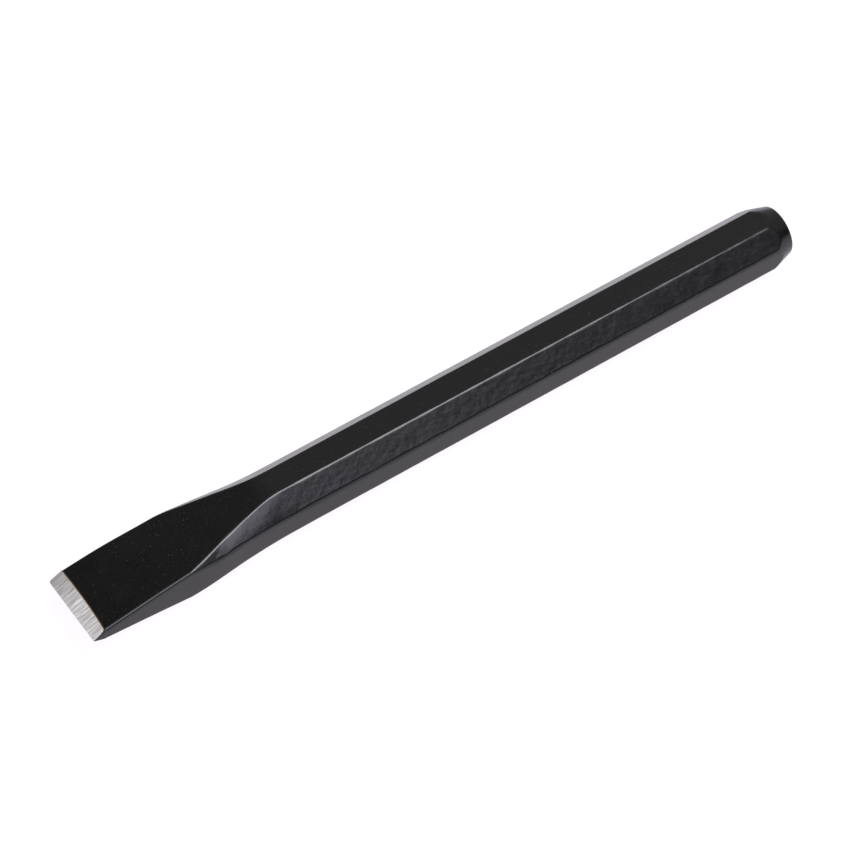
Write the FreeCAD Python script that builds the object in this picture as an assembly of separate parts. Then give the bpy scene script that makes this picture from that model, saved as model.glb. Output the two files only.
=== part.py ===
"""Cold chisel, 25 x 250 mm, forged in one piece from 19 mm octagonal tool-steel bar.

Two physical layers are separate solids, each in its own node:

  steel_body   the one-piece forging: octagonal shank, flattened and flared blade, coned striking head,
               and the two bare bevels that are ground to the cutting edge
  paint_coat   the black enamel film that covers the steel everywhere except where the bevels were ground
               through it, so its cut rim shows as a thin line around each bevel

Row frame: +X runs from the cutting edge to the striking head, +Y across the blade, +Z up, and the chisel
lies on the lower flat of its shank.  The origin is under the middle of its length, on that flat.  All shapes
are first made in a tool frame, whose x is measured from the cutting edge and whose z is measured from the
axis of the bar.
"""

import FreeCAD
import Part

import math
import os

Vector = FreeCAD.Vector

# ---- Driving dimensions, in mm, over the paint ----------------------------------------------------
LENGTH = 250.0  # cutting edge to striking face
EDGE_WIDTH = 25.0  # width of the blade at the cutting edge
ACROSS_FLATS = 19.0  # octagonal shank, across its flats
FLAT_WIDTH = 8.6  # each of the four square-on flats; the four diagonal flats are 7.35 mm wide
COAT = 0.10  # thickness of the enamel film

# Blade, seen from the side: two faces that close in towards the tip, each slightly crowned across its width
TIP_HALF_THICKNESS = 1.60  # of the forged blank at the cutting edge, before the bevels are ground
TAPER_SLOPE = 0.1235  # rise of each blade face per mm of length
TAPER_BLEND_RADIUS = 60.0  # where a blade face runs into the shank's flat
CROWN_RADIUS = 450.0  # of each blade face, across the blade
CROWN_RISE = 0.03  # how far a blade face would rise past the shank's flat, which cuts it off level

# Blade, seen from above, as (distance from the edge, half-width)
FLANK_END = (38.0, 11.60)  # the straight flank, which narrows a little, ends in a rounded shoulder
SHOULDER_END = (48.0, 10.88)  # the shoulder turns into the hollow sweep down to the shank

# Diagonal flats, as (distance from the edge, |y| + |z| on the face)
BLADE_ARRIS = 0.30  # what the blade's four long arrises lose of |y| + |z|
DIAGONAL_START = (33.0, 16.85)  # where a diagonal flat comes to a point on the blade's arris
DIAGONAL_START_SLOPE = -0.06
DIAGONAL_TURN = (42.0, 15.85)  # its rounded start turns into the hollow sweep down to the shank

# Ground cutting edge
BEVEL_HALF_ANGLE = 25.0  # degrees, each bevel to the mid plane
EDGE_LAND = 0.16  # thickness left at the very edge
CORNER_RADIUS = 0.3  # the two ends of the cutting edge, seen from above

# Striking head
HEAD_RADIUS = 8.0  # of the striking face, out to where the cone would meet it
HEAD_CONE_ANGLE = 16.5  # degrees, the cone to the axis
RIM_RADIUS = 0.4  # rounding between the cone and the striking face

# ---- Derived values --------------------------------------------------------------------------------
HALF_EDGE = EDGE_WIDTH / 2.0
HALF_FLATS = ACROSS_FLATS / 2.0
SHANK_DIAGONAL = HALF_FLATS + FLAT_WIDTH / 2.0  # |y| + |z| on the shank's diagonal flats
OVERRUN = 2.0  # how far the forming profiles run past both ends of the tool
REACH = 30.0  # half-size of the forming solids, well outside the tool
BEVEL_REACH = 60.0  # how far back the bevel planes run, until they are clear of the shank
CROWN_HALF_SWEEP = 4.0  # degrees each side of the mid plane that a crowned face is swept, past the blade
ORIGIN = Vector(0, 0, 0)
X_AXIS = Vector(1, 0, 0)
Y_AXIS = Vector(0, 1, 0)


def point(x, height):
    """A point of a profile: x along the tool, height square to it."""
    return Vector(x, height, 0)


def line(start, end):
    return Part.LineSegment(start, end).toShape()


def tangent_arc(start, direction, end):
    """The arc that leaves start along direction and ends at end, with its direction there."""
    chord = end - start
    along = Vector(direction).normalize()
    normal = Vector(-along.y, along.x, 0)
    centre = start + normal * (chord.dot(chord) / (2.0 * chord.dot(normal)))
    radius = (start - centre).Length
    outward = ((start + end) * 0.5 - centre).normalize()
    arc = Part.Arc(start, centre + outward * radius, end).toShape()
    end_direction = chord * (2.0 * along.dot(chord) / chord.dot(chord)) - along
    return arc, end_direction


def levelling_arc(start, direction, height):
    """The arc that leaves start along direction and is level when it reaches height, with its end."""
    half_turn = abs(math.atan2(direction.y, direction.x)) / 2.0
    end = point(start.x + abs(height - start.y) / math.tan(half_turn), height)
    return tangent_arc(start, direction, end)[0], end


def shouldered_edges(tip_height, corner, turn, level, lead_slope=None):
    """A straight run from the tip to corner, a rounded shoulder to turn, a hollow sweep, and the shank.

    The shoulder leaves corner in line with the straight run, or along lead_slope where that is given."""
    run_slope = (corner.y - tip_height) / corner.x
    start = point(-OVERRUN, tip_height - run_slope * OVERRUN)
    lead = point(1.0, run_slope if lead_slope is None else lead_slope)
    shoulder, falling = tangent_arc(corner, lead, turn)
    sweep, shank_start = levelling_arc(turn, falling, level)
    shank = line(shank_start, point(LENGTH + OVERRUN, level))
    return [line(start, corner), shoulder, sweep, shank]


def plan_edges(skin):
    """The blade's flank and the shank's side, seen from above, as (x, y)."""
    inset = Vector(0, -skin, 0)
    corner = point(*FLANK_END) + inset
    turn = point(*SHOULDER_END) + inset
    return shouldered_edges(HALF_EDGE - skin, corner, turn, HALF_FLATS - skin)


def diagonal_edges(skin):
    """The blade's arris and then the diagonal flat, as (x, |y| + |z|)."""
    inset = skin * math.sqrt(2.0)
    crown_drop = HALF_EDGE**2 / (2.0 * CROWN_RADIUS)
    tip_height = HALF_EDGE + TIP_HALF_THICKNESS - crown_drop - BLADE_ARRIS - inset
    corner = point(*DIAGONAL_START) - Vector(0, inset, 0)
    turn = point(*DIAGONAL_TURN) - Vector(0, inset, 0)
    return shouldered_edges(tip_height, corner, turn, SHANK_DIAGONAL - inset, DIAGONAL_START_SLOPE)


def taper_edges(skin):
    """A blade face and the shank's flat, seen from the side at the mid plane, as (x, half-thickness)."""
    level = HALF_FLATS + CROWN_RISE - skin
    at_tip = TIP_HALF_THICKNESS - skin
    rise = point(1.0, TAPER_SLOPE).normalize()
    meeting = point((level - at_tip) / TAPER_SLOPE, level)
    tangent = TAPER_BLEND_RADIUS * math.tan(math.atan(TAPER_SLOPE) / 2.0)
    start = point(-OVERRUN, at_tip - TAPER_SLOPE * OVERRUN)
    blend_start = meeting - rise * tangent
    blend_end = meeting + X_AXIS * tangent
    blend, _ = tangent_arc(blend_start, rise, blend_end)
    return [line(start, blend_start), blend, line(blend_end, point(LENGTH + OVERRUN, level))]


def cone_edges(skin):
    """The striking head's cone and its rounded rim, as (x, radius), from the tip's end to the face."""
    angle = math.radians(HEAD_CONE_ANGLE)
    rim = RIM_RADIUS - skin
    face_x = LENGTH - skin
    meeting = point(face_x, HEAD_RADIUS + skin * math.tan(angle) - skin / math.cos(angle))
    closing = point(math.cos(angle), -math.sin(angle))
    tangent = rim * math.tan((math.pi / 2.0 - angle) / 2.0)
    start = meeting - closing * ((face_x + OVERRUN) / closing.x)
    cone_end = meeting - closing * tangent
    rim_arc, _ = tangent_arc(cone_end, closing, meeting - Y_AXIS * tangent)
    return [line(start, cone_end), rim_arc]


def face_within(edges):
    return Part.Face(Part.Wire(Part.sortEdges(edges)[0]))


def face_under(edges, first, last, floor):
    """The face between profile edges, which run from first to last, and the level line at floor."""
    low_first = point(first.x, floor)
    low_last = point(last.x, floor)
    return face_within(edges + [line(last, low_last), line(low_last, low_first), line(low_first, first)])


def ends_of(edges):
    """The leftmost and the rightmost point of a run of profile edges."""
    points = [vertex.Point for edge in edges for vertex in edge.Vertexes]
    return min(points, key=lambda p: p.x), max(points, key=lambda p: p.x)


def mirrored_face(edges):
    """The face between profile edges and their mirror image in the x axis."""
    first, last = ends_of(edges)
    mirrored = [edge.mirror(ORIGIN, Y_AXIS) for edge in edges]
    ends = [line(p, point(p.x, -p.y)) for p in (first, last)]
    return face_within(edges + mirrored + ends)


def flanked_bar(skin):
    """Cut to the plan shape of blade and shank, and to the shank's upper and lower flats."""
    half_height = Vector(0, 0, HALF_FLATS - skin)
    return mirrored_face(plan_edges(skin)).translated(half_height * -1.0).extrude(half_height * 2.0)


def diagonal_bar(skin):
    """Cut to the four diagonal faces: two prisms, each leaning along one pair of them."""
    outline = mirrored_face(diagonal_edges(skin))
    bars = []
    for lean in (1, -1):
        along = Vector(0, lean, 1) * REACH
        bars.append(outline.translated(along * -1.0).extrude(along * 2.0))
    return bars[0].common(bars[1])


def crowned_wedge(skin):
    """Cut to the two blade faces, each crowned across the blade."""
    edges = taper_edges(skin)
    profile = face_under(edges, *ends_of(edges), -REACH)
    profile.rotate(ORIGIN, X_AXIS, 90.0)
    centre = Vector(0, 0, -CROWN_RADIUS)
    profile.rotate(centre, X_AXIS, -CROWN_HALF_SWEEP)
    upper = profile.revolve(centre, X_AXIS, 2.0 * CROWN_HALF_SWEEP)
    return upper.common(upper.rotated(ORIGIN, X_AXIS, 180.0))


def coned_head(skin):
    """Cut to the striking head's cone, rim and face."""
    edges = cone_edges(skin)
    start, _ = ends_of(edges)
    rim_end = min((vertex.Point for vertex in edges[-1].Vertexes), key=lambda p: p.y)
    return face_under(edges, start, rim_end, 0.0).revolve(ORIGIN, X_AXIS, 360.0)


def blank(skin):
    """The tool before its bevels are ground, skin mm under the painted surface."""
    shape = flanked_bar(skin).common(crowned_wedge(skin))
    shape = shape.common(diagonal_bar(skin))
    return shape.common(coned_head(skin))


def bevel_wedge():
    """The space between the two bevel planes, from a thin land at the cutting edge."""
    half_land = EDGE_LAND / 2.0
    half_height = half_land + BEVEL_REACH * math.tan(math.radians(BEVEL_HALF_ANGLE))
    upper = [point(0, half_land), point(BEVEL_REACH, half_height), point(LENGTH + OVERRUN, half_height)]
    edges = [line(a, b) for a, b in zip(upper, upper[1:])]
    wedge = mirrored_face(edges)
    wedge.rotate(ORIGIN, X_AXIS, 90.0)
    return wedge.translated(Y_AXIS * REACH).extrude(Y_AXIS * (-2.0 * REACH))


def grinding_envelope():
    """What grinding leaves: the space between the bevels, with the cutting edge's two corners rounded."""
    plan = Part.makeBox(LENGTH + OVERRUN, EDGE_WIDTH, 2 * REACH, Vector(0, -HALF_EDGE, -REACH))
    corners = [edge for edge in plan.Edges if edge.BoundBox.XMax < 1e-6 and edge.BoundBox.ZLength > REACH]
    return bevel_wedge().common(plan.makeFillet(CORNER_RADIUS, corners))


def only_solid(shape, name):
    shape = shape.removeSplitter()
    if len(shape.Solids) != 1 or not shape.isValid():
        raise RuntimeError(f"{name} isn't one valid solid")
    return shape.Solids[0]


def build():
    """Every node of the chisel, by name, in the row frame."""
    ground = grinding_envelope()
    painted = only_solid(blank(0.0).common(ground), "the painted tool")
    steel = only_solid(blank(COAT).common(ground), "steel_body")
    coat = only_solid(painted.cut(steel), "paint_coat")
    to_row = Vector(-LENGTH / 2.0, 0, HALF_FLATS)
    return {"steel_body": steel.translated(to_row), "paint_coat": coat.translated(to_row)}


def main():
    os.makedirs("parts", exist_ok=True)
    for name, shape in build().items():
        shape.exportStep(f"parts/{name}.step")
        box = shape.optimalBoundingBox()
        print(f"{name}: {len(shape.Faces)} faces, {shape.Volume:.1f} mm3, {box}")


main()
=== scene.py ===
import math

import bmesh
import bpy
import numpy as np
from mathutils import Matrix, Vector, noise


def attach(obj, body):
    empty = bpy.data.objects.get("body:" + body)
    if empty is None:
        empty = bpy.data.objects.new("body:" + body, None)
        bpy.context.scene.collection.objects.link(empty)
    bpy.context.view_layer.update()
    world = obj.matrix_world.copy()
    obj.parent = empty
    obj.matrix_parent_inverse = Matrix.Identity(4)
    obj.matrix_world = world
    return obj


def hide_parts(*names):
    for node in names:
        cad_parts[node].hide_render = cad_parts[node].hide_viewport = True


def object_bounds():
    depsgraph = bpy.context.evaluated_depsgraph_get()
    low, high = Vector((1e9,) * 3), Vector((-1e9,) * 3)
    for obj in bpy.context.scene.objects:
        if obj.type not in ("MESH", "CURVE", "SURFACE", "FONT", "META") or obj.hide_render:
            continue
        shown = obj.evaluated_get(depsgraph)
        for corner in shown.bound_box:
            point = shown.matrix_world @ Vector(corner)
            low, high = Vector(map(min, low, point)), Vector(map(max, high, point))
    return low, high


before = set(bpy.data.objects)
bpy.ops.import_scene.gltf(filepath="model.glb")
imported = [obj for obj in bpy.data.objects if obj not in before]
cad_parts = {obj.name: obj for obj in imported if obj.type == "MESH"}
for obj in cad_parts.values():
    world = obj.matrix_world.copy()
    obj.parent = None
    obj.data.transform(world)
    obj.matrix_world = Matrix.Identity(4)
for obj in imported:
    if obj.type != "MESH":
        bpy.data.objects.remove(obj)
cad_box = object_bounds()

# The chisel's surface is worked out in millimetres in a tool frame: x from the cutting edge to the striking
# face, y across the blade, z from the bar's axis.  to_row() takes it to the row frame, in metres.
MM = 0.001
LOW, HIGH = [corner / MM for corner in cad_box]
LENGTH = HIGH.x - LOW.x
HALF_FLATS = (HIGH.z - LOW.z) / 2.0
HALF_EDGE = HIGH.y

COAT = 0.10  # thickness of the enamel
SHANK_DIAGONAL = HALF_FLATS + 4.3  # |y| + |z| on the shank's diagonal flats
CROWN_RADIUS = 450.0  # of each blade face, across the blade
CROWN_RISE = 0.03  # how far a blade face would rise past the shank's flat, which cuts it off level
BLADE_ARRIS = 0.30  # what the blade's long arrises lose of |y| + |z|
WORN_ARRIS = 0.46  # the same on the one that is rounded most, above on the near side
EDGE_ROUNDING = 0.55  # radius along the long edges, before its unevenness
WORN_ROUNDING = 1.15  # the same along the two edges above on the near side
SIDE_LEG, WORN_SIDE_LEG = 1.2, 2.3  # how much farther the rounding reaches down the side flats
WORN_SIDE_WIDTH = 1.15  # and how much farther the one beside a side flat reaches up the diagonal
ARC_FULLNESS = 0.64  # of a rounding that is close to an arc
EDGE_FULLNESS = 0.5  # of the one between the top and diagonal flats
BULGE, WORN_BULGE = 0.010, 0.015  # of the diagonals in the neck, as a share of their width
BULGE_START, BULGE_FULL, BULGE_FADE, BULGE_END = 40.0, 48.0, 58.0, 69.0
WORN_LIFT, WORN_DROP = 0.68, 0.50  # how much higher the worn diagonal's lower edge lies, then lower
LIFT_START, LIFT_TOP, LIFT_END = 41.0, 50.0, 72.0
DROP_START, DROP_FULL = 57.0, 74.0
NECK_END = 72.0  # the blade's rows of points are closer together than the shank's
ROLLED_START, ROLLED_FULL = 36.0, 46.0  # forging pressed out the rolling marks nearer the edge
BEVEL_SLOPE = math.tan(math.radians(25.0))
HALF_LAND = 0.06  # half the thickness left at the cutting edge
NEAR_CORNER, FAR_CORNER = 0.25, 0.5  # radius of the two ends of the cutting edge, seen from above
HEAD_RADIUS = 8.15
HEAD_OFFSET = -0.14  # of the cone's axis across the bar, towards the near side
HEAD_ANGLE = math.radians(16.5)
HEAD_SLOPE = math.tan(HEAD_ANGLE)
HEAD_BLEND = 0.12  # depth of the soft corner between the flats and the cone
RIM_RADIUS = 0.40
CURL = 0.40  # how far the blade's far flank stands up
CURL_FULL, CURL_END = 14.0, 36.0
GRIND_SHARE = 0.6  # the share of that which the ground edge follows
LIP_SHARE = 0.55  # of the ground-through enamel that is black, before the tan of its undercoat
LUMP_DEPTH = 0.06  # of the hollows that rolling leaves in the diagonal flats
WAVE_DEPTH = 0.006  # of the broad unevenness everywhere
LIP_DROP, LIP_REACH = 0.05, 0.45  # how the enamel rolls over towards the bevels
SHARP_ANGLE = math.radians(32.0)  # between faces that are shaded apart

# Where the rows of points lie
TIP_ZONE = 8.0  # they follow the bevels' slanting ends up to here
TIP_ROWS = (0.0, 0.08, 0.17, 0.27, 0.38, 0.5, 0.8, 1.3, 1.8, 2.4, 3.1, 3.9, 4.8, 5.8, 6.9, TIP_ZONE)
HEAD_ZONE = LENGTH - 13.0  # and the cone's scalloped start from here
CORNER_ROWS = (-0.45, -0.3, -0.18, -0.08, 0.0, 0.08, 0.18, 0.3, 0.45)  # about that start
APPROACH_ROWS = 9
RIM_ROWS = 6
FACE_RINGS = (0.86, 0.7, 0.52, 0.34, 0.17)  # of the striking face's radius
GRIND_ROWS = 40

# Profiles along the tool, as (x, value, slope)
BLADE_FACE = [(0.0, 1.60, 0.1235), (60.4, 9.06, 0.1235), (67.9, HALF_FLATS + CROWN_RISE, 0.0)]
NEAR_FLANK = [
    (0.0, 12.46, -0.026),
    (29.0, 11.80, -0.014),
    (38.0, 11.69, -0.034),
    (48.0, 11.08, -0.112),
    (60.0, 10.18, -0.062),
    (71.0, 9.76, -0.012),
    (84.0, HALF_FLATS + 0.19, 0.0),
]
FAR_FLANK = [
    (0.0, 12.42, 0.008),
    (11.0, 12.47, -0.004),
    (24.0, 12.12, -0.048),
    (38.0, 11.46, -0.044),
    (48.0, 11.02, -0.110),
    (71.0, HALF_FLATS, 0.0),
]
NEAR_DIAGONAL = [(33.0, 16.85, -0.06), (42.0, 15.85, -0.162), (67.5, SHANK_DIAGONAL - 0.05, 0.0)]
FAR_DIAGONAL = [
    (31.0, 17.12, -0.03),
    (38.0, 16.84, -0.09),
    (42.0, 16.33, -0.14),
    (47.0, 15.72, -0.115),
    (59.0, 14.22, -0.095),
    (69.0, SHANK_DIAGONAL, 0.0),
]


def curve_through(x, knots):
    """Smooth curve through (x, value, slope) knots, straight on before the first and after the last."""
    x = np.asarray(x, float)
    first, last = knots[0], knots[-1]
    y = np.where(x < first[0], first[1] + (x - first[0]) * first[2], last[1] + (x - last[0]) * last[2])
    for (xa, ya, ma), (xb, yb, mb) in zip(knots, knots[1:]):
        span = xb - xa
        t = (x - xa) / span
        inner = (1 + 2 * t) * (1 - t) ** 2 * ya + t * (1 - t) ** 2 * span * ma
        inner += t * t * (3 - 2 * t) * yb + t * t * (t - 1) * span * mb
        y = np.where((x >= xa) & (x < xb), inner, y)
    return y


def soft_min(a, b, depth):
    """The smaller of two values, with the corner between them rounded off by depth."""
    reach = 4.0 * depth
    near = np.maximum(reach - np.abs(a - b), 0.0) / reach
    return np.minimum(a, b) - near * near * depth


def round_corner(start, corner, end, t, fullness):
    """The curve at t from start round to end, reaching fullness of the way to the corner between them."""
    first = start + fullness * (corner - start)
    last = end + fullness * (corner - end)
    return (1 - t) ** 3 * start + 3 * t * (1 - t) ** 2 * first + 3 * t * t * (1 - t) * last + t**3 * end


def smooth_step(x, start, end):
    """0 up to start and 1 from end on, rising smoothly between them, or falling where end comes first."""
    t = np.clip((x - start) / (end - start), 0.0, 1.0)
    return t * t * (3 - 2 * t)


def field(points, grain, seed):
    """Smooth noise from -1 to 1 at points in mm, with features about grain mm across."""
    shift = Vector((seed * 17.3, seed * 5.1, seed * 9.7))
    return np.array([noise.noise(Vector(p) / grain + shift) for p in points])


def curl(x, y):
    """How much higher the blade stands at (x, y) than at its near flank."""
    return CURL * smooth_step(x, CURL_END, CURL_FULL) * ((y + HALF_EDGE) / (2.0 * HALF_EDGE)) ** 2


class Ring:
    """The columns of a section: each follows one line of the surface all the way along the tool."""

    TOP, TOP_EDGE, DIAGONAL_FLAT, SIDE_EDGE, SIDE = range(5)

    def __init__(self, top_cells, diagonal_cells, side_cells, edge_cells):
        quarter = []
        for kind, cells in (
            (self.TOP, top_cells // 2),
            (self.TOP_EDGE, edge_cells),
            (self.DIAGONAL_FLAT, diagonal_cells),
            (self.SIDE_EDGE, edge_cells),
            (self.SIDE, side_cells // 2),
        ):
            quarter += [(kind, i / cells) for i in range(cells)]
        middle_of_side = (self.SIDE, 1.0)
        there = quarter + [middle_of_side]
        back = list(reversed(quarter[1:]))
        columns = [(kind, part, 1, 1) for kind, part in there]
        columns += [(kind, part, 1, -1) for kind, part in back]
        columns += [(self.TOP, 0.0, 1, -1)]
        columns += [(kind, part, -1, -1) for kind, part in there[1:]]
        columns += [(kind, part, -1, 1) for kind, part in back]
        self.kind, self.part, self.y_sign, self.z_sign = np.array(columns, float).T
        self.count = len(columns)
        self.far = self.y_sign > 0
        self.worn = (self.y_sign < 0) & (self.z_sign > 0)

    def rolled(self):
        """1 on the diagonal flats, which are left as they were rolled, half at their edges, 0 elsewhere."""
        on_flat = self.kind == self.DIAGONAL_FLAT
        on_edge = (self.kind == self.TOP_EDGE) | (self.kind == self.SIDE_EDGE)
        return np.where(on_flat, 1.0, np.where(on_edge, 0.5, 0.0))

    def outline(self, x, skin):
        """Half the width, half the thickness in the middle, and |y| + |z| on the diagonal flats."""
        width = np.where(self.far, curve_through(x, FAR_FLANK), curve_through(x, NEAR_FLANK))
        corner = np.where(self.far, FAR_CORNER, NEAR_CORNER)
        into_corner = np.clip(corner - x, 0.0, corner)
        width -= corner - np.sqrt(np.maximum(corner**2 - into_corner**2, 0.0)) + skin
        thickness = curve_through(x, BLADE_FACE) - skin
        crown_drop = width**2 / (2.0 * CROWN_RADIUS)
        arris = width + thickness - crown_drop - np.where(self.worn, WORN_ARRIS, BLADE_ARRIS)
        cut = np.where(self.far, curve_through(x, FAR_DIAGONAL), curve_through(x, NEAR_DIAGONAL))
        return width, thickness, np.minimum(cut - skin * math.sqrt(2.0), arris)

    def side_lift(self, x):
        """How much higher than true the lower edge of the worn diagonal flat lies."""
        lift = WORN_LIFT * smooth_step(x, LIFT_START, LIFT_TOP) * smooth_step(x, LIFT_END, LIFT_TOP)
        return np.where(self.worn, lift - WORN_DROP * smooth_step(x, DROP_START, DROP_FULL), 0.0)

    def edge_radius(self, x, skin):
        """The radius along the long edges, which varies from edge to edge and along each."""
        which = 3.0 * self.y_sign + 5.0 * self.z_sign
        wander = 0.22 * np.sin(x / 3.1 + which) * np.sin(x / 7.7 - which)
        wander += 0.12 * np.sin(x / 1.37 + 2.0 * which)
        return (np.where(self.worn, WORN_ROUNDING, EDGE_ROUNDING) - skin) * (1.0 + wander)

    def section(self, x, skin):
        """(y, z) of each column at its own x, skin mm under the painted surface, without the head's cone."""
        x = np.broadcast_to(np.asarray(x, float), (self.count,))
        width, thickness, diagonal = self.outline(x, skin)

        def on_face(y):
            """The face's point at y: crowned on the blade, and cut off level on the shank."""
            return np.array([y, np.minimum(thickness - y * y / (2.0 * CROWN_RADIUS), HALF_FLATS - skin)])

        corner_y = diagonal - thickness
        for _ in range(3):
            corner_y = diagonal - on_face(corner_y)[1]
        top_corner = on_face(corner_y)
        side_corner = np.array([width, diagonal - width + self.side_lift(x)])
        flat = side_corner - top_corner
        flat_length = np.sqrt((flat**2).sum(0))
        along_flat = flat / flat_length
        outward = np.array([-along_flat[1], along_flat[0]])

        reach = np.minimum(self.edge_radius(x, skin) * math.tan(math.pi / 8.0), 0.45 * flat_length)
        side_reach = np.minimum(reach * np.where(self.worn, WORN_SIDE_WIDTH, 1.0), 0.5 * flat_length)
        down_side = np.where(self.worn, WORN_SIDE_LEG, SIDE_LEG) * reach
        top_end = on_face(corner_y - reach)
        flat_start = top_corner + along_flat * reach
        flat_end = side_corner - along_flat * side_reach
        side_start = side_corner - np.array([np.zeros_like(reach), down_side])
        side_middle = np.array([width, np.zeros_like(width)])
        in_neck = smooth_step(x, BULGE_START, BULGE_FULL) * smooth_step(x, BULGE_END, BULGE_FADE)
        bulge = np.where(self.worn, WORN_BULGE, BULGE) * in_neck * flat_length

        s = self.part
        lines = [
            on_face(s * top_end[0]),
            round_corner(top_end, top_corner, flat_start, s, EDGE_FULLNESS),
            (1 - s) * flat_start + s * flat_end + outward * bulge * 4.0 * s * (1 - s),
            round_corner(flat_end, side_corner, side_start, s, ARC_FULLNESS),
            (1 - s) * side_start + s * side_middle,
        ]
        kind = self.kind.astype(int)
        y = np.choose(kind, [line[0] for line in lines]) * self.y_sign
        z = np.choose(kind, [line[1] for line in lines]) * self.z_sign
        return y, z

    def points(self, x, skin):
        """Points (count, 3) of every column at its own x, on the cone where that is inside the section."""
        x = np.broadcast_to(np.asarray(x, float), (self.count,))
        y, z = self.section(x, skin)
        from_axis = y - HEAD_OFFSET
        reach = np.hypot(from_axis, z)
        cone = HEAD_RADIUS + (LENGTH - x) * HEAD_SLOPE - skin / math.cos(HEAD_ANGLE)
        shrink = soft_min(reach, cone, HEAD_BLEND / 4.0) / reach
        return np.stack([x, HEAD_OFFSET + from_axis * shrink, (z + curl(x, y)) * shrink], axis=1)

    def bevel_starts(self, skin):
        """The x at which each column comes out of the ground bevels, or 0 at the very edge."""
        start = np.full(self.count, 4.0)
        for _ in range(30):
            place = self.points(start, skin)
            height = np.abs(place[:, 2] - GRIND_SHARE * curl(place[:, 0], place[:, 1]))
            start = np.maximum((height - HALF_LAND) / BEVEL_SLOPE, 0.0)
        return start

    def cone_starts(self, skin):
        """The x at which each column of the shank meets the head's cone."""
        y, z = self.section(HEAD_ZONE + 1.0, skin)
        cone_at_face = HEAD_RADIUS - skin / math.cos(HEAD_ANGLE)
        return LENGTH - (np.hypot(y - HEAD_OFFSET, z) - cone_at_face) / HEAD_SLOPE


def rows_along(ring, skin, blade_step, shank_step):
    """Rows of points from the bevels to the striking face's rim; every row has one point per column."""
    starts = ring.bevel_starts(skin)
    rows = [starts + (TIP_ZONE - starts) * t / TIP_ZONE for t in TIP_ROWS]
    rows += list(np.arange(TIP_ZONE + blade_step, NECK_END, blade_step))
    rows += list(np.arange(NECK_END, HEAD_ZONE, shank_step))
    cone = ring.cone_starts(skin)
    approach, leave = cone + CORNER_ROWS[0], cone + CORNER_ROWS[-1]
    rows += [HEAD_ZONE + (approach - HEAD_ZONE) * t for t in np.linspace(0, 1, APPROACH_ROWS)[:-1]]
    rows += [cone + offset for offset in CORNER_ROWS]
    rim = RIM_RADIUS - skin
    rim_start = LENGTH - skin - rim * math.tan((math.pi / 2 - HEAD_ANGLE) / 2) * math.cos(HEAD_ANGLE)
    rows += [leave + (rim_start - leave) * t for t in np.linspace(0, 1, APPROACH_ROWS)[1:]]
    return [ring.points(x, skin) for x in rows]


def face_rows(last_row, skin):
    """Round the rim and in across the striking face, with each column going straight to the middle."""
    rim = RIM_RADIUS - skin
    middle = np.array([HEAD_OFFSET, 0.0])
    spokes = last_row[:, 1:] - middle
    radius = np.hypot(spokes[:, 0], spokes[:, 1])
    spokes /= radius[:, None]
    centre_radius = radius - rim * math.cos(HEAD_ANGLE)
    rows = []
    for turn in np.linspace(math.pi / 2 - HEAD_ANGLE, 0.0, RIM_ROWS)[1:]:
        r = centre_radius + rim * math.sin(turn)
        x = np.full(len(r), LENGTH - skin - rim + rim * math.cos(turn))
        rows.append(np.column_stack([x, middle + spokes * r[:, None]]))
    inner = rows[-1]
    for part in FACE_RINGS:
        rows.append(np.column_stack([inner[:, 0], middle + (inner[:, 1:] - middle) * part]))
    return rows


def to_row(points):
    """From the tool frame in mm to the row frame in metres."""
    return (np.asarray(points) + np.array([LOW.x, 0.0, HALF_FLATS])) * MM


def forging_relief(points, rolled):
    """How deep the surface lies below true, in mm: rolling marks on the diagonal flats, less elsewhere."""
    slant = points @ np.array([[0.8, 0.0, 0.0], [0.25, 1.0, 0.0], [0.25, 0.0, 1.0]])
    broad = 0.5 + 0.5 * field(points, 9.0, 1)
    lumps = 0.5 + 0.5 * field(slant, 1.7, 2)
    small = 0.5 + 0.5 * field(slant, 1.05, 3)
    return LUMP_DEPTH * rolled * (0.65 * lumps + 0.35 * small) + WAVE_DEPTH * broad


def band_faces(first_row, next_row, columns, flip=False):
    """Quads between two closed rows, whose points are numbered from first_row and next_row."""
    faces = []
    for c in range(columns):
        n = (c + 1) % columns
        quad = (first_row + c, first_row + n, next_row + n, next_row + c)
        faces.append(quad[::-1] if flip else quad)
    return faces


def tube_faces(row_count, columns, offset=0, flip=False):
    """The rows' bands, numbered from offset, and the fan to the middle point, which follows the last row."""
    starts = [offset + r * columns for r in range(row_count)]
    faces = []
    for first_row, next_row in zip(starts, starts[1:]):
        faces += band_faces(first_row, next_row, columns, flip)
    middle = offset + row_count * columns
    for c in range(columns):
        wedge = (starts[-1] + c, starts[-1] + (c + 1) % columns, middle)
        faces.append(wedge[::-1] if flip else wedge)
    return faces


def make_piece(name, points, faces, rolled=None, indices=None):
    """An object in the row frame; rolled is a value for each point, and indices are the faces' materials."""
    mesh = bpy.data.meshes.new(name)
    mesh.from_pydata(to_row(points).tolist(), [], faces)
    if indices is not None:
        mesh.polygons.foreach_set("material_index", indices)
    if rolled is not None:
        layer = mesh.attributes.new("rolled", "FLOAT", "POINT")
        layer.data.foreach_set("value", np.asarray(rolled, np.float32))
    mesh.shade_smooth()
    mesh.set_sharp_from_angle(angle=SHARP_ANGLE)
    mesh.validate()
    piece = bpy.data.objects.new(name, mesh)
    bpy.context.scene.collection.objects.link(piece)
    return piece


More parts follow.
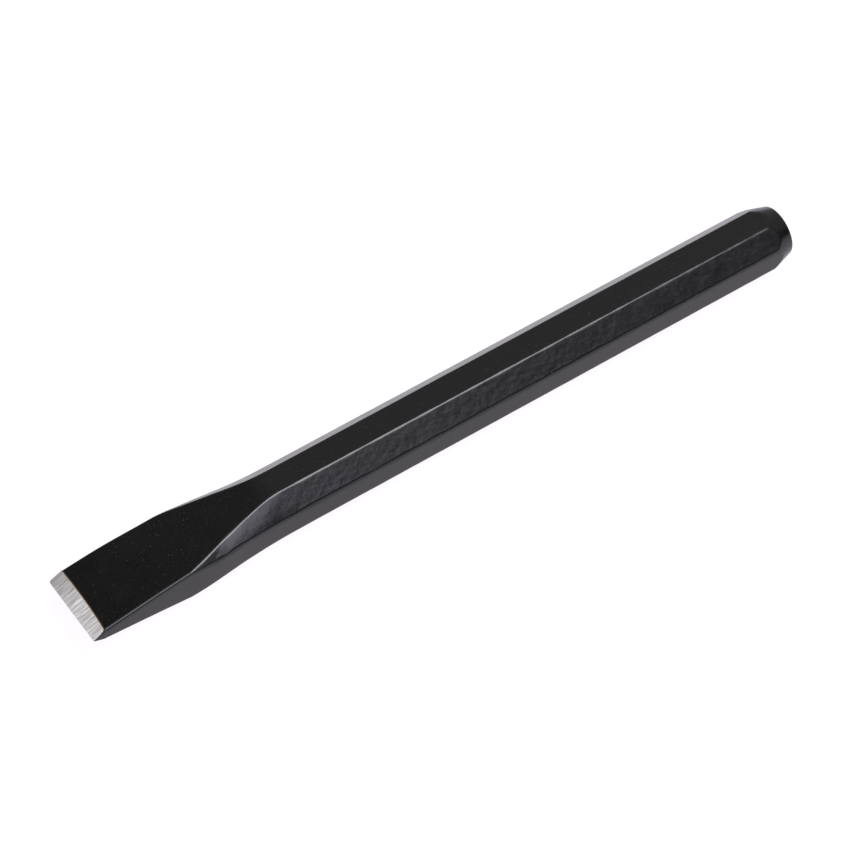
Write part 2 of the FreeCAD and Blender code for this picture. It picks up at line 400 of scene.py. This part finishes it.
def sink(rows, depths):
    """Moves rows of points inwards, square to the surface, by depths in mm."""
    grid = np.array(rows)
    along = np.gradient(grid, axis=0)
    around = np.roll(grid, -1, axis=1) - np.roll(grid, 1, axis=1)
    normal = np.cross(along, around)
    normal /= np.maximum(np.linalg.norm(normal, axis=2, keepdims=True), 1e-9)
    outward = np.sign((normal[..., 1:] * grid[..., 1:]).sum(axis=2, keepdims=True))
    return grid - normal * outward * depths[..., None]


def layer_rows(ring, skin, blade_step, shank_step):
    """The side rows of one layer with their relief, and how rolled each point is."""
    rows = rows_along(ring, skin, blade_step, shank_step)
    grid = np.array(rows)
    x = grid[..., 0]
    from_rim = x - ring.bevel_starts(skin)[None, :]
    rolled = ring.rolled()[None, :] * smooth_step(x, ROLLED_START, ROLLED_FULL)
    rolled = rolled * smooth_step(x, LENGTH - 3.5, LENGTH - 8.0)
    clear = smooth_step(from_rim, 0.3, 3.0) * smooth_step(x, LENGTH - 1.0, LENGTH - 4.0)
    relief = LUMP_DEPTH * rolled * clear
    if skin == 0.0:
        relief = forging_relief(grid.reshape(-1, 3), rolled.ravel()).reshape(x.shape) * clear
        relief += LIP_DROP * np.clip(1.0 - from_rim / LIP_REACH, 0.0, 1.0) ** 2
    return sink(rows, relief), rolled


def whole_layer(ring, skin, blade_step, shank_step):
    """A layer's points from the bevels to the striking face's middle, their row count, and rolled values."""
    side, rolled = layer_rows(ring, skin, blade_step, shank_step)
    rows = list(side) + face_rows(side[-1], skin)
    return np.concatenate(rows + [[[LENGTH - skin, HEAD_OFFSET, 0.0]]]), len(rows), rolled


def build_coat(ring):
    """The enamel: its outside, its inside against the steel, and the cut rim between them at the bevels."""
    columns = ring.count
    outer, outer_rows, rolled = whole_layer(ring, 0.0, blade_step=0.60, shank_step=0.66)
    inner, inner_rows, _ = whole_layer(ring, COAT, blade_step=10.0, shank_step=16.0)
    rim = outer[:columns] + (inner[:columns] - outer[:columns]) * LIP_SHARE
    points = np.concatenate([outer, inner, rim])
    first_inner = len(outer)
    first_rim = first_inner + len(inner)
    faces = tube_faces(outer_rows, columns, flip=True)
    faces += tube_faces(inner_rows, columns, first_inner)
    faces += band_faces(0, first_rim, columns)
    black_faces = len(faces)
    faces += band_faces(first_rim, first_inner, columns)
    values = np.zeros(len(points))
    values[: rolled.size] = rolled.ravel()
    across_face = (ring.kind != ring.SIDE) & (ring.kind != ring.SIDE_EDGE)
    indices = [0] * black_faces + across_face.astype(int).tolist()
    return make_piece("enamel_coat", points, faces, values, indices)


def build_steel(ring):
    """The bare forging: its hidden outside, and two ground bevels that meet at a thin land."""
    points, row_count, _ = whole_layer(ring, COAT, blade_step=4.0, shank_step=12.0)
    faces = tube_faces(row_count, ring.count, flip=True)
    ground_points, ground_faces = ground_end(ring, points[: ring.count], len(points))
    return make_piece("forged_steel", np.concatenate([points, ground_points]), faces + ground_faces)


def without_repeats(corners):
    """A face's corners with each point named once, or nothing if no face is left."""
    corners = tuple(dict.fromkeys(corners))
    return [corners] if len(corners) > 2 else []


def bevel_rows(high, first, last, sign):
    """Rows of points on one bevel from the land up, without high, its upper edge from first to last."""
    share = (np.arange(first, last + 1) - first + 1) / (last - first + 2)
    low = np.zeros((len(share), 3))
    low[:, 1] = (1 - share) * high[first - 1, 1] + share * high[last + 1, 1]
    rows = []
    for r in range(GRIND_ROWS):
        row = low + (high[first : last + 1] - low) * r / GRIND_ROWS
        bevel = sign * (HALF_LAND + row[:, 0] * BEVEL_SLOPE)
        row[:, 2] = bevel + GRIND_SHARE * curl(row[:, 0], row[:, 1])
        rows.append(row)
    return rows


def ground_end(ring, rim, first_index):
    """The two bevels and the land, joined to rim, the ring of points where the flanks and faces begin."""
    height = np.abs(rim[:, 2] - GRIND_SHARE * curl(rim[:, 0], rim[:, 1]))
    far = int(np.argmin(np.where(ring.far, height, LENGTH)))
    near = int(np.argmin(np.where(ring.far, LENGTH, height)))
    points, faces, land = [], [], []
    for sign in (1, -1):
        across = sign * (far - near) % ring.count
        loop = [(far - sign * i) % ring.count for i in range(across + 1)]
        high = rim[loop]
        ground = np.flatnonzero(high[:, 0] > HALF_LAND)
        first, last = max(ground[0], 1), min(ground[-1], across - 1)
        lines = []
        for row in bevel_rows(high, first, last, sign):
            start = first_index + len(points)
            lines.append(loop[:first] + list(range(start, start + len(row))) + loop[last + 1 :])
            points += row.tolist()
        lines.append(loop)
        for low_line, high_line in zip(lines, lines[1:]):
            for c in range(across):
                corners = (low_line[c], low_line[c + 1], high_line[c + 1], high_line[c])
                faces += without_repeats(corners if sign > 0 else corners[::-1])
        land = lines[0][::-1] if sign > 0 else land + lines[0]
    faces += without_repeats(land)
    return np.array(points), faces


# ---- Materials ----------------------------------------------------------------------------------
class Nodes:
    """A short way to write a material's node tree."""

    def __init__(self, name):
        self.material = bpy.data.materials.new(name)
        self.material.use_nodes = True
        self.tree = self.material.node_tree
        self.shader = self.tree.nodes["Principled BSDF"]

    def add(self, kind, inputs=(), **settings):
        """A new node with these settings and with values or links for its inputs."""
        node = self.tree.nodes.new(kind)
        for key, value in settings.items():
            setattr(node, key, value)
        for key, value in dict(inputs).items():
            self.feed(node.inputs[key], value)
        return node

    def feed(self, socket, value):
        if isinstance(value, bpy.types.NodeSocket):
            self.tree.links.new(value, socket)
        else:
            socket.default_value = value

    def place(self):
        return self.add("ShaderNodeTexCoord").outputs["Object"]

    def stretched(self, scale):
        node = self.add("ShaderNodeMapping", {"Vector": self.place(), "Scale": scale})
        return node.outputs["Vector"]

    def noise(self, grain, detail=2.0, vector=None, roughness=0.5):
        """Noise with features about grain metres across."""
        inputs = {"Vector": vector or self.place(), "Scale": 1.0 / grain, "Detail": detail}
        return self.add("ShaderNodeTexNoise", {**inputs, "Roughness": roughness}).outputs["Fac"]

    def attribute(self, name):
        return self.add("ShaderNodeAttribute", attribute_name=name).outputs["Fac"]

    def math(self, operation, a, b):
        return self.add("ShaderNodeMath", {0: a, 1: b}, operation=operation).outputs[0]

    def ramp(self, value, low, high, to_low=0.0, to_high=1.0):
        """From to_low where value is low, to to_high where it is high, and level beyond both."""
        node = self.add(
            "ShaderNodeMapRange",
            {"Value": value, "From Min": low, "From Max": high, "To Min": to_low, "To Max": to_high},
        )
        return node.outputs["Result"]

    def mix_colour(self, factor, a, b):
        node = self.add("ShaderNodeMix", data_type="RGBA")
        self.feed(node.inputs["Factor"], factor)
        self.feed(node.inputs["A"], a)
        self.feed(node.inputs["B"], b)
        return node.outputs["Result"]

    def bump(self, height, distance, normal=None):
        inputs = {"Height": height, "Distance": distance, "Strength": 1.0}
        if normal is not None:
            inputs["Normal"] = normal
        return self.add("ShaderNodeBump", inputs).outputs["Normal"]


def specks(nodes, cell, size, share):
    """Scattered round spots, 1 in the middle of each: cell metres apart, in about share of the cells."""
    voronoi = nodes.add("ShaderNodeTexVoronoi", {"Vector": nodes.place(), "Scale": 1.0 / cell})
    spot = nodes.ramp(voronoi.outputs["Distance"], size / cell, 0.4 * size / cell, 0.0, 1.0)
    lot = nodes.add("ShaderNodeSeparateColor", {"Color": voronoi.outputs["Color"]}).outputs[0]
    chosen = nodes.math("LESS_THAN", lot, share)
    return nodes.math("MULTIPLY", spot, chosen)


def enamel_material():
    """Black gloss enamel: smooth over the flats, mottled and pitted over the rolled diagonals."""
    nodes = Nodes("black_enamel")
    rolled = nodes.attribute("rolled")
    lumps = nodes.noise(0.0015, 2.0)
    peel = nodes.noise(0.00055, 1.0)
    pits = specks(nodes, 0.0026, 0.00028, 0.3)
    dust = specks(nodes, 0.0011, 0.00009, 0.9)
    patch = nodes.math("MULTIPLY", rolled, nodes.ramp(lumps, 0.38, 0.66))
    grain = nodes.ramp(nodes.noise(0.0007, 2.0), 0.35, 0.65)
    black = nodes.mix_colour(grain, (0.0018, 0.0015, 0.0015, 1), (0.0040, 0.0036, 0.0035, 1))
    colour = nodes.mix_colour(patch, black, (0.0048, 0.0045, 0.0053, 1))
    colour = nodes.mix_colour(nodes.math("MULTIPLY", dust, 0.7), colour, (0.14, 0.14, 0.15, 1))
    nodes.feed(nodes.shader.inputs["Base Color"], colour)
    rough = nodes.ramp(nodes.noise(0.006, 4.0), 0.3, 0.7, 0.19, 0.25)
    rough = nodes.math("ADD", rough, nodes.math("MULTIPLY", dust, 0.3))
    nodes.feed(nodes.shader.inputs["Roughness"], rough)
    nodes.shader.inputs["IOR"].default_value = 1.42
    fine_depth = nodes.ramp(rolled, 0.0, 1.0, 0.7, 1.0)
    fine = nodes.bump(nodes.math("MULTIPLY", peel, fine_depth), 0.000008)
    uneven = nodes.bump(nodes.math("MULTIPLY", lumps, rolled), 0.00003, fine)
    holes = nodes.math("MULTIPLY", pits, nodes.math("MULTIPLY", rolled, -1.0))
    nodes.feed(nodes.shader.inputs["Normal"], nodes.bump(holes, 0.00006, uneven))
    return nodes.material


def cut_rim_material():
    """The enamel's section where it was ground through, tan with its undercoat."""
    nodes = Nodes("enamel_cut_rim")
    tint = nodes.noise(0.0009, 3.0)
    colour = nodes.mix_colour(nodes.ramp(tint, 0.35, 0.65), (0.22, 0.12, 0.045, 1), (0.42, 0.27, 0.13, 1))
    nodes.feed(nodes.shader.inputs["Base Color"], colour)
    nodes.shader.inputs["Roughness"].default_value = 0.5
    return nodes.material


def ground_steel_material():
    """Bare tool steel, with the fine lines that a belt leaves square to the cutting edge, and painted shade
    darkening it towards the far side.
    """
    nodes = Nodes("ground_steel")
    lines = nodes.noise(0.001, 2.0, nodes.stretched((0.13, 2.6, 0.13)), 0.65)
    fine = nodes.noise(0.001, 2.0, nodes.stretched((0.16, 6.5, 0.16)), 0.6)
    streak = nodes.math("ADD", nodes.math("MULTIPLY", lines, 0.25), nodes.math("MULTIPLY", fine, 0.75))
    furrow, ridge = (0.29, 0.28, 0.281, 1), (0.79, 0.763, 0.764, 1)
    colour = nodes.mix_colour(nodes.ramp(streak, 0.43, 0.57), furrow, ridge)
    # Painted shade: the base colour is darkened towards the far side (+y) of the bevels, with a noisy edge;
    # the steel has no real tarnish there.
    across = nodes.add("ShaderNodeSeparateXYZ", {"Vector": nodes.place()}).outputs["Y"]
    cloud = nodes.math("MULTIPLY", nodes.noise(0.004, 2.0), 0.006)
    far_side_painted_shade = nodes.ramp(nodes.math("ADD", across, cloud), 0.004, 0.0145, 0.0, 0.65)
    colour = nodes.mix_colour(far_side_painted_shade, colour, (0.25, 0.241, 0.244, 1))
    nodes.feed(nodes.shader.inputs["Base Color"], colour)
    nodes.shader.inputs["Metallic"].default_value = 1.0
    nodes.feed(nodes.shader.inputs["Roughness"], nodes.ramp(streak, 0.3, 0.7, 0.30, 0.42))
    nodes.feed(nodes.shader.inputs["Normal"], nodes.bump(streak, 0.000025))
    return nodes.material


def floor_material():
    """A white light table."""
    nodes = Nodes("pale_floor")
    nodes.shader.inputs["Base Color"].default_value = (0.10, 0.10, 0.10, 1)
    nodes.shader.inputs["Emission Color"].default_value = (1.02, 0.98, 1.05, 1)
    nodes.shader.inputs["Emission Strength"].default_value = 0.92
    nodes.shader.inputs["Roughness"].default_value = 0.9
    nodes.shader.inputs["Specular IOR Level"].default_value = 0.0
    return nodes.material


# ---- Floor, light and camera --------------------------------------------------------------------
def make_floor():
    """A round table top, far wider than the view."""
    mesh = bpy.data.meshes.new("floor")
    form = bmesh.new()
    bmesh.ops.create_circle(form, cap_ends=True, segments=96, radius=6.0)
    form.to_mesh(mesh)
    form.free()
    mesh.materials.append(floor_material())
    floor = bpy.data.objects.new("floor", mesh)
    bpy.context.scene.collection.objects.link(floor)


def soft_box(name, place, width, height, radiance, colour=(1.0, 1.0, 1.0)):
    """A soft box at place, facing the object, as bright as radiance over its whole face."""
    light = bpy.data.lights.new(name, "AREA")
    light.shape = "RECTANGLE"
    light.size, light.size_y = width, height
    light.energy = radiance * math.pi * width * height
    light.color = colour
    lamp = bpy.data.objects.new(name, light)
    lamp.location = place
    lamp.rotation_euler = Vector(place).to_track_quat("Z", "Y").to_euler()
    bpy.context.scene.collection.objects.link(lamp)


ROOM_AXIS = (-0.30, 0.50, 0.81)  # towards the darkest part of the ceiling
GLOW_AXIS = (0.0, -0.60, 0.80)  # towards a bright wall in front
GLOW_START, GLOW_FULL = 0.8600, 0.9130  # cosines of the angle from it
GLOW_RADIANCE = 3.5
GLOW_TINT = (1.0, 0.965, 1.12)
ROOM = (  # (cosine of the angle from ROOM_AXIS, radiance)
    (-0.45, 0.02),
    (-0.22, 0.06),
    (-0.13, 0.34),
    (-0.05, 0.38),
    (0.70, 0.53),
    (0.81, 0.46),
    (0.866, 0.40),
    (0.926, 0.22),
    (0.938, 0.10),
    (0.956, 0.05),
)


def turned_from(tree, axis):
    """The cosine of the angle between the direction looked in and axis."""
    direction = tree.nodes.new("ShaderNodeTexCoord")
    facing = tree.nodes.new("ShaderNodeVectorMath")
    facing.operation = "DOT_PRODUCT"
    facing.inputs[1].default_value = axis
    tree.links.new(direction.outputs["Generated"], facing.inputs[0])
    return facing.outputs["Value"]


def mapped(tree, value, low, high):
    """value taken from low and high to 0 and 1."""
    spread = tree.nodes.new("ShaderNodeMapRange")
    spread.inputs["From Min"].default_value = low
    spread.inputs["From Max"].default_value = high
    tree.links.new(value, spread.inputs["Value"])
    return spread.outputs["Result"]


def make_room():
    """A room that is bright in front and to the sides, with a dark ceiling behind."""
    world = bpy.data.worlds.new("room")
    world.use_nodes = True
    tree = world.node_tree
    shade = tree.nodes.new("ShaderNodeValToRGB")
    tree.links.new(mapped(tree, turned_from(tree, ROOM_AXIS), -1.0, 1.0), shade.inputs["Fac"])
    stops = shade.color_ramp.elements
    while len(stops) < len(ROOM):
        stops.new(0.5)
    for stop, (facing_axis, radiance) in zip(stops, ROOM):
        stop.position = (facing_axis + 1.0) / 2.0
        stop.color = (radiance, radiance, radiance, 1)
    glow = tree.nodes.new("ShaderNodeVectorMath")
    glow.operation = "MULTIPLY_ADD"
    glow.inputs[1].default_value = [GLOW_RADIANCE * tint for tint in GLOW_TINT]
    tree.links.new(mapped(tree, turned_from(tree, GLOW_AXIS), GLOW_START, GLOW_FULL), glow.inputs[0])
    tree.links.new(shade.outputs["Color"], glow.inputs[2])
    tree.links.new(glow.outputs["Vector"], tree.nodes["Background"].inputs["Color"])
    bpy.context.scene.world = world


def light_the_stage():
    """A soft box overhead, a weaker one to the left, and the room."""
    soft_box("overhead", (0.27, -0.25, 0.93), 0.50, 0.40, 11.5, (1.0, 0.98, 1.04))
    soft_box("left", (-0.476, 0.424, 0.59), 0.36, 0.36, 1.5)
    make_room()


CAMERA_TARGET = Vector((-0.00600, -0.00252, 0.00959))
CAMERA_DISTANCE = 0.966
CAMERA_AZIMUTH = math.radians(32.99)  # how far the view is turned from +Y towards +X
CAMERA_ELEVATION = math.radians(51.40)
CAMERA_ROLL = math.radians(-1.578)
CAMERA_LENS = 139.27


def make_camera():
    """Sees the chisel from above and in front, with its edge to the left."""
    turn, rise = CAMERA_AZIMUTH, CAMERA_ELEVATION
    right = Vector((math.cos(turn), -math.sin(turn), 0.0))
    away = Vector((math.sin(turn), math.cos(turn), 0.0))
    forward = away * math.cos(rise) - Vector((0.0, 0.0, math.sin(rise)))
    level = Matrix((right, right.cross(forward), -forward)).transposed()
    camera_data = bpy.data.cameras.new("camera")
    camera_data.lens = CAMERA_LENS
    camera_data.sensor_width = 36.0
    camera_data.clip_start = 0.01
    camera = bpy.data.objects.new("camera", camera_data)
    aimed = (level @ Matrix.Rotation(CAMERA_ROLL, 3, "Z")).to_4x4()
    camera.matrix_world = Matrix.Translation(CAMERA_TARGET - forward * CAMERA_DISTANCE) @ aimed
    bpy.context.scene.collection.objects.link(camera)
    bpy.context.scene.camera = camera


def main():
    make_camera()
    light_the_stage()
    make_floor()
    bpy.context.scene.view_settings.view_transform = "Standard"

    coat = build_coat(Ring(top_cells=28, diagonal_cells=20, side_cells=12, edge_cells=5))
    coat.data.materials.append(enamel_material())
    coat.data.materials.append(cut_rim_material())
    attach(coat, "root")
    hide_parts("paint_coat")

    steel = build_steel(Ring(top_cells=120, diagonal_cells=8, side_cells=24, edge_cells=4))
    steel.data.materials.append(ground_steel_material())
    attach(steel, "root")
    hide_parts("steel_body")


main()
